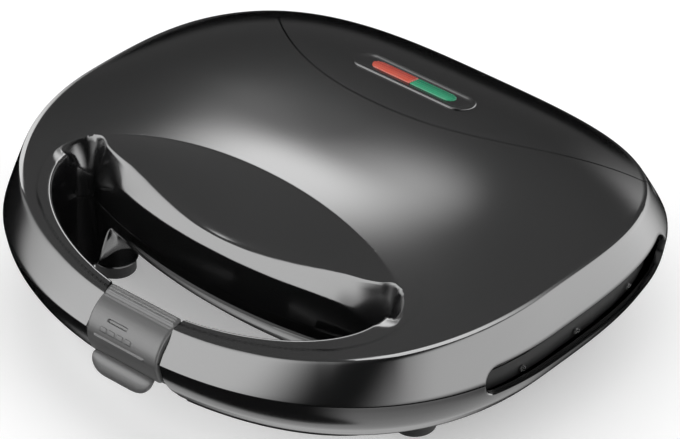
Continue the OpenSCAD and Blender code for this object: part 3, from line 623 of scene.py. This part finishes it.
hinge = {"y": 107.0, "z": 32.0, "radius": 5.8, "baseSpans": [(22, 28), (44, 50)], "lidSpans": [(28.4, 43.6)],
         "baseArm": [(-6.4, 5.2), (-6.4, -6), (-5.2, -7.4), (1.5, -5.6), (0, 5.6)],
         "lidArm": [(-2.5, 0), (-5.2, 8.3), (-7.4, 13), (-9.2, 17.0), (-8.2, 17.6), (-5.6, 15.0), (-2.4, 11.2),
                    (2.2, 7), (5.1, 2)]}


def prism(bm, outlineYZ, x0, x1, bevel):  # a block with this outline seen along x, its edges rounded
    verts = [bm.verts.new((x0 * mm, y * mm, z * mm)) for y, z in outlineYZ]
    face = bm.faces.new(verts)
    made = bmesh.ops.extrude_face_region(bm, geom=[face])["geom"]
    bmesh.ops.translate(bm, verts=[v for v in made if isinstance(v, bmesh.types.BMVert)], vec=((x1 - x0) * mm, 0, 0))
    faces = {f for v in verts for f in v.link_faces} | {g for g in made if isinstance(g, bmesh.types.BMFace)}
    edges = list({e for f in faces for e in f.edges if e.calc_face_angle(0) > 0.6})
    bmesh.ops.bevel(bm, geom=edges, offset=bevel * mm, offset_type="OFFSET", segments=2, profile=0.5,
                    affect="EDGES", material=-1, clamp_overlap=True)


def barrel(bm, x0, x1, y, z, radius, bevel):  # a round bar along x with rounded rims
    place = Matrix.Translation(((x0 + x1) / 2 * mm, y * mm, z * mm)) @ Matrix.Rotation(math.pi / 2, 4, "Y")
    made = bmesh.ops.create_cone(bm, cap_ends=True, segments=48, radius1=radius * mm, radius2=radius * mm,
                                 depth=(x1 - x0) * mm, matrix=place)["verts"]
    rims = list({e for v in made for e in v.link_edges if e.calc_face_angle(0) > 1})
    bmesh.ops.bevel(bm, geom=rims, offset=bevel * mm, offset_type="OFFSET", segments=3, profile=0.5,
                    affect="EDGES", material=-1, clamp_overlap=True)


def knuckles(name, bodyName, spans, arm, material):
    bm = bmesh.new()
    for side in (-1, 1):
        for x0, x1 in spans:
            a, b = sorted((side * x0, side * x1))
            barrel(bm, a, b, hinge["y"], hinge["z"], hinge["radius"], 0.5)
            prism(bm, [(hinge["y"] + y, hinge["z"] + z) for y, z in arm], a + 0.15, b - 0.15, 0.4)
    finish(bm, name, bodyName, material)


knuckles("baseKnuckles", "base", hinge["baseSpans"], hinge["baseArm"], materials["casing"])
knuckles("lidKnuckles", "lid", hinge["lidSpans"], hinge["lidArm"], materials["casing"])
print("hinges made")

finishes = {
    "plate": ["lower_plate", "upper_plate"], "frame": ["lower_frame", "upper_frame"],
    "heater": ["lower_heater", "upper_heater"], "sheet": ["lower_heat_shield", "upper_heat_shield"],
    "screw": ["lower_plate_screws", "upper_plate_screws", "lower_frame_screws", "upper_frame_screws",
              "cord_clamp_screws"],
    "steel": ["hinge_pin_left", "hinge_pin_right", "latch_pin", "latch_spring", "side_rivets", "thermal_fuse"],
    "brass": ["thermostat"], "ceramic": ["terminal_block", "power_lamp", "ready_lamp"],
    "sleeve": ["lower_leads", "upper_leads"],
    "inlet": ["cord_gland", "cord_clamp"],
    "foot": ["foot_front_left", "foot_front_right", "foot_rear_left", "foot_rear_right"],
}
for key, names in finishes.items():
    for nodeName in names:
        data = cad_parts[nodeName].data
        data.materials.clear()
        data.materials.append(materials[key])

# The latch: a curved cover across the bow with three fine ribs and a groove at its top, a slot and plain bars on its
# face, and a narrower lip under it to pull at.
latch = {
    "half": 17.4, "sideRadius": 1.1, "lipHalf": 14.6, "lipRound": 9.0,
    "face": [(-95.6, 51.6), (-95.9, 52.7), (-97.2, 52.6), (-99.6, 51.7), (-102, 50.5), (-104.6, 48.9), (-106.8, 46.9),
             (-108.4, 44.8), (-109.6, 42.5), (-110.3, 40), (-110.3, 37.6), (-109.8, 35), (-108.9, 32), (-108.3, 30.9),
             (-107.4, 30.2), (-106, 30)],
    "back": [(-105.3, 30.2), (-105.3, 32.6), (-106.3, 33.6), (-107.1, 36.4), (-107.4, 40), (-106.5, 42.4),
             (-104.2, 45), (-101.2, 47), (-98.5, 46.1), (-95.8, 48), (-95.5, 50.6)],
    "ribs": [(1.9, 0.22), (3.1, 0.22), (4.3, 0.22)],  # place down the face, height
    "groove": (6.0, 0.8, 0.42),  # place, width, depth
    "slot": (-8.8, 0.8, 14.6, 0.6, 0.7),  # x from, x to, place down the face, half height, depth
    "bars": [(-9.2, 18.6), (-5.2, 18.6), (-1.2, 18.6), (2.8, 18.6)],  # x, place down the face
    "bar": (1.5, 0.9, 0.3),  # half length, half height, lift
    "ledge": (22.2, 0.5, 0.5),  # place, half height, lift
    "lip": [(-107.6, 31.6), (-109.2, 31.9), (-110.6, 31.3), (-111.8, 29.9), (-112.6, 28), (-112.95, 26.2),
            (-112.6, 24.9), (-111.6, 24.45), (-110.3, 25), (-109.2, 26.8), (-108.2, 29), (-107.5, 30.4)],
}


def loft(sections):  # a solid through closed sections, capped at both ends
    bm = ringShell(sections, False)
    count = len(sections[0])
    bm.verts.ensure_lookup_table()
    for ring in (bm.verts[:count], bm.verts[-count:]):
        edges = [e for e in {e for v in ring for e in v.link_edges} if e.is_boundary]
        bmesh.ops.contextual_create(bm, geom=edges)
    return bm


def makeLatch():
    face = evenly(curveThrough(latch["face"], 8), np.linspace(0, 1, 260))
    back = evenly(curveThrough(latch["back"], 6), np.linspace(0, 1, 60))
    down = np.r_[0, np.cumsum(np.linalg.norm(np.diff(face, axis=0), axis=1))]
    out = np.gradient(face, axis=0)
    out = np.stack([out[:, 1], -out[:, 0]], 1) / np.linalg.norm(out, axis=1)[:, None]
    out *= np.sign(out[130] @ np.array((-1, 0)))
    half, r = latch["half"], latch["sideRadius"]
    turn = np.linspace(0, math.pi / 2, 6)
    left = [-half + r * (1 - math.sin(t)) for t in turn[::-1]]
    xs = np.unique(np.r_[left, np.arange(-half + r, half - r, 0.25), [-x for x in left]])

    def near(v, centre, width, soft=0.18):
        return smoothstep(width - np.abs(v - centre), -soft, soft)

    sections = []
    for x in xs:
        rise = np.zeros(len(face))
        for at, high in latch["ribs"]:
            rise += high * near(down, at, 0.3) * near(x, 0, half - 1.2)
        at, wide, deep = latch["groove"]
        rise -= deep * np.exp(-((down - at) / wide) ** 2)
        x0, x1, at, high, deep = latch["slot"]
        aside = max(0, abs(x - (x0 + x1) / 2) - (x1 - x0) / 2 + high)
        rise -= deep * near(np.hypot(aside, down - at), 0, high)
        long, high, lift = latch["bar"]
        for centre, at in latch["bars"]:
            rise += lift * near(x, centre, long) * near(down, at, high)
        at, high, lift = latch["ledge"]
        rise += lift * near(down, at, high, 0.3) * near(x, -1, 12.2, 0.5)
        sink = r - math.sqrt(max(0, r * r - max(0, abs(x) - half + r) ** 2))
        line = face + out * (rise - 0.05)[:, None] - out * sink
        sections.append(np.array([(x, *p) for p in line] + [(x, *p) for p in back]))
    finish(loft(sections), "latchCover", "latch", materials["latch"], ("latch",), 50)
    lip = evenly(np.array([*curveThrough(latch["lip"], 6), latch["lip"][0]]), np.linspace(0, 1, 90, endpoint=False))
    top = np.array((-108.2, 31.0))
    half, far = latch["lipHalf"], latch["lipRound"]
    sections = []
    for x in half * np.sin(np.linspace(-math.pi / 2, math.pi / 2, 61)) * 0.999:
        past = max(0, abs(x) - half + far) / far
        short = (1 - past ** 2.4) ** (1 / 2.4)
        at = top + (lip - top) * np.array((0.35 + 0.65 * short, max(short, 0.08)))
        sections.append(np.array([(x, *p) for p in at]))
    finish(loft(sections), "latchLip", "latch", materials["latch"], (), 50)


makeLatch()
print("latch made")


def onLamp(x, v, w):  # w above the dome, at v along its slope from the lamps' middle
    y = lamps["y"] + v * math.cos(math.radians(lamps["tilt"]))
    return np.stack([x, y, domeTop(x, y) + w], 1)


def makeLamps():
    around = np.linspace(0, 2 * math.pi, 144, endpoint=False) + 0.01
    sections = []
    for r, w in evenly(curveThrough(lamps["bowl"], 5), np.linspace(0, 1, 60)):
        x = np.sign(np.cos(around)) * lamps["half"] + r * np.cos(around)
        sections.append(onLamp(x, r * np.sin(around), np.full(len(around), w)))
    finish(loft(sections), "lampDish", "lid", materials["dish"], ("lamp_carrier",), 50)
    start, end = lamps["lensEnds"]
    half, pitch = lamps["lensHalf"], lamps["pitch"]
    for side, key in ((-1, "red"), (1, "green")):
        sections = []
        xs = np.r_[np.linspace(start, end - half, 76), end - half * (1 - np.sin(np.linspace(0, 1.5, 26)[1:]))]
        for x in xs:
            wide = math.sqrt(half ** 2 - max(0, x - end + half) ** 2)
            v = np.linspace(-wide, wide, 57)
            edge = np.minimum(wide - np.abs(v), x - start + 0.25)
            cell = np.maximum(np.abs((x / pitch) % 1 - 0.5), np.abs((v / pitch) % 1 - 0.5))
            rise = -0.5 + (0.5 + lamps["lift"]) * np.sin(np.clip(edge / lamps["slope"], 0, 1) * math.pi / 2)
            rise += lamps["pyramid"] * (1 - 2 * cell) * smoothstep(edge, 0.3, 0.8)
            under = np.linspace(wide, -wide, 13)[1:-1]
            line = np.r_[np.stack([v, rise], 1), np.stack([under, np.full(11, -1.6)], 1)]
            sections.append(onLamp(np.full(len(line), side * x), line[:, 0], line[:, 1]))
        finish(loft(sections), key + "Cap", "lid", materials[key], (key + "_lens",), 10)


makeLamps()
print("lamps made")

bosses = {
    "places": [(-76, -36), (76, -36), (-70, 62), (70, 62)],
    "profile": [(8.2, 5.05), (8.7, 5.2), (8.95, 5.7), (9, 6.5), (9, 12), (9, 17)],
}


def makeBosses():  # round bosses that carry the feet
    around = np.linspace(0, 2 * math.pi, 72, endpoint=False)
    for k, (x, y) in enumerate(bosses["places"]):
        sections = [np.stack([x + r * np.cos(around), y + r * np.sin(around), np.full(len(around), z)], 1)
                    for r, z in bosses["profile"]]
        finish(loft(sections), f"footBoss{k + 1}", "base", materials["casing"], (), 40)


makeBosses()
print("foot bosses made")

studio = {
    "floor": 0.85, "floorLift": 0.3, "light": 0.95,
    "low": 0.12, "high": 0.3, "under": 0.9,  # what gloss sees near the horizon, overhead and under the object
    "toCamera": (0.673, -0.74),  # the room is dark overhead on the camera's side
    "soft": {"azimuth": -128, "elevation": 47, "wide": 12.0, "high": 13.0, "strength": 5.0},
    "left": {"azimuth": (-98, -48, -10, 23), "elevation": (-7, 5, 42, 48), "strength": 3.75},
    "right": {"azimuth": (38, 76, 160, 205), "elevation": (-32, -10, 14, 26), "strength": 3.2},
    "shaded": (-84, -66, 16, 42),  # the part of the room below the horizon that stays dark
}


def makeStage():
    bm = bmesh.new()
    bmesh.ops.create_grid(bm, x_segments=1, y_segments=1, size=6)
    mesh = bpy.data.meshes.new("floor")
    bm.to_mesh(mesh)
    bm.free()
    floor = bpy.data.objects.new("floor", mesh)
    bpy.context.scene.collection.objects.link(floor)
    shade = Shade("paleFloor", Roughness=0.9, Specular_IOR_Level=0.0, Emission_Strength=1.0)
    shade.shader.inputs["Base Color"].default_value = grey(studio["floor"])
    seen = shade.add("ShaderNodeLightPath", {}, {}, "Is Camera Ray")
    shade.put("Emission Color", shade.blend(seen, grey(0), grey(studio["floorLift"])))
    mesh.materials.append(shade.material)
    floor.visible_glossy = False  # gloss sees the room below the horizon in its place


# The room as gloss sees it: a soft lamp above and behind to the left, and two tall screens low at the sides.
def makeWorld():
    world = bpy.data.worlds.new("studio")
    bpy.context.scene.world = world
    world.cycles.sampling_method = "NONE"  # the light is even, so its rays need no guiding
    world.use_nodes = True
    shade = Shade.__new__(Shade)
    shade.tree = world.node_tree
    rays = shade.add("ShaderNodeLightPath", {}, {}, "Is Camera Ray")
    cam, glossy = rays, Value(shade, rays.socket.node.outputs["Is Glossy Ray"])
    clear = Value(shade, rays.socket.node.outputs["Is Transmission Ray"])
    way = shade.add("ShaderNodeTexCoord", {}, {}, "Generated")
    parts = shade.add("ShaderNodeSeparateXYZ", {}, {0: way}).socket.node
    x, y, z = (Value(shade, parts.outputs[k]) for k in range(3))
    turn = x.math("ARCTAN2", y * -1.0)
    rise = z.math("ARCSINE")
    rad = math.radians
    soft = studio["soft"]
    az, el = rad(soft["azimuth"]), rad(soft["elevation"])
    centre = Vector((math.sin(az) * math.cos(el), -math.cos(az) * math.cos(el), math.sin(el)))
    side = Vector((math.cos(az), math.sin(az), 0))
    ahead, u, v = (x * a.x + y * a.y + z * a.z for a in (centre, side, centre.cross(side)))
    u, v = u / math.tan(rad(soft["wide"])), v / math.tan(rad(soft["high"]))
    spread = ((u * u + v * v) ** 0.5) / ahead.math("MAXIMUM", 0.05)
    seen = z.between(0.2, 0.9) * (studio["high"] - studio["low"]) + studio["low"]
    toX, toY = studio["toCamera"]
    towardCamera = (x * toX + y * toY).between(0.35, 0.95) * z.between(0.55, 0.85, 1.0, 0.0)
    seen = seen * (1 - towardCamera) * z.between(-0.12, 0.0)
    a, b, c, d = (rad(k) for k in studio["shaded"])
    shaded = turn.between(a, b) * turn.between(c, d, 1.0, 0.0)
    seen = seen + z.between(-0.86, -0.72, 1.0, 0.0) * (1 - shaded) * studio["under"]
    seen = seen + spread.between(0.3, 1.45, 1.0, 0.0) * ahead.between(0.3, 0.4) * soft["strength"]
    for name in ("left", "right"):
        spec = studio[name]
        a, b, c, d = (rad(k) for k in spec["azimuth"])
        past = turn if d <= math.pi else turn + (turn.math("LESS_THAN", rad(-140))) * (2 * math.pi)
        e, f, g, h = (rad(k) for k in spec["elevation"])
        window = past.between(a, b) * past.between(c, d, 1.0, 0.0) * rise.between(e, f) * rise.between(g, h, 1.0, 0.0)
        seen = seen + window * spec["strength"]
    strength = (1 - glossy) * studio["light"] + glossy * seen
    both = (cam + clear).math("MINIMUM", 1.0)
    strength = (1 - both) * strength + both
    back = shade.tree.nodes["Background"]
    back.inputs["Color"].default_value = (1, 1, 1, 1)
    shade.tree.links.new(strength.socket, back.inputs["Strength"])


makeStage()
makeWorld()
bpy.context.scene.view_settings.view_transform = "Standard"
print("studio made")
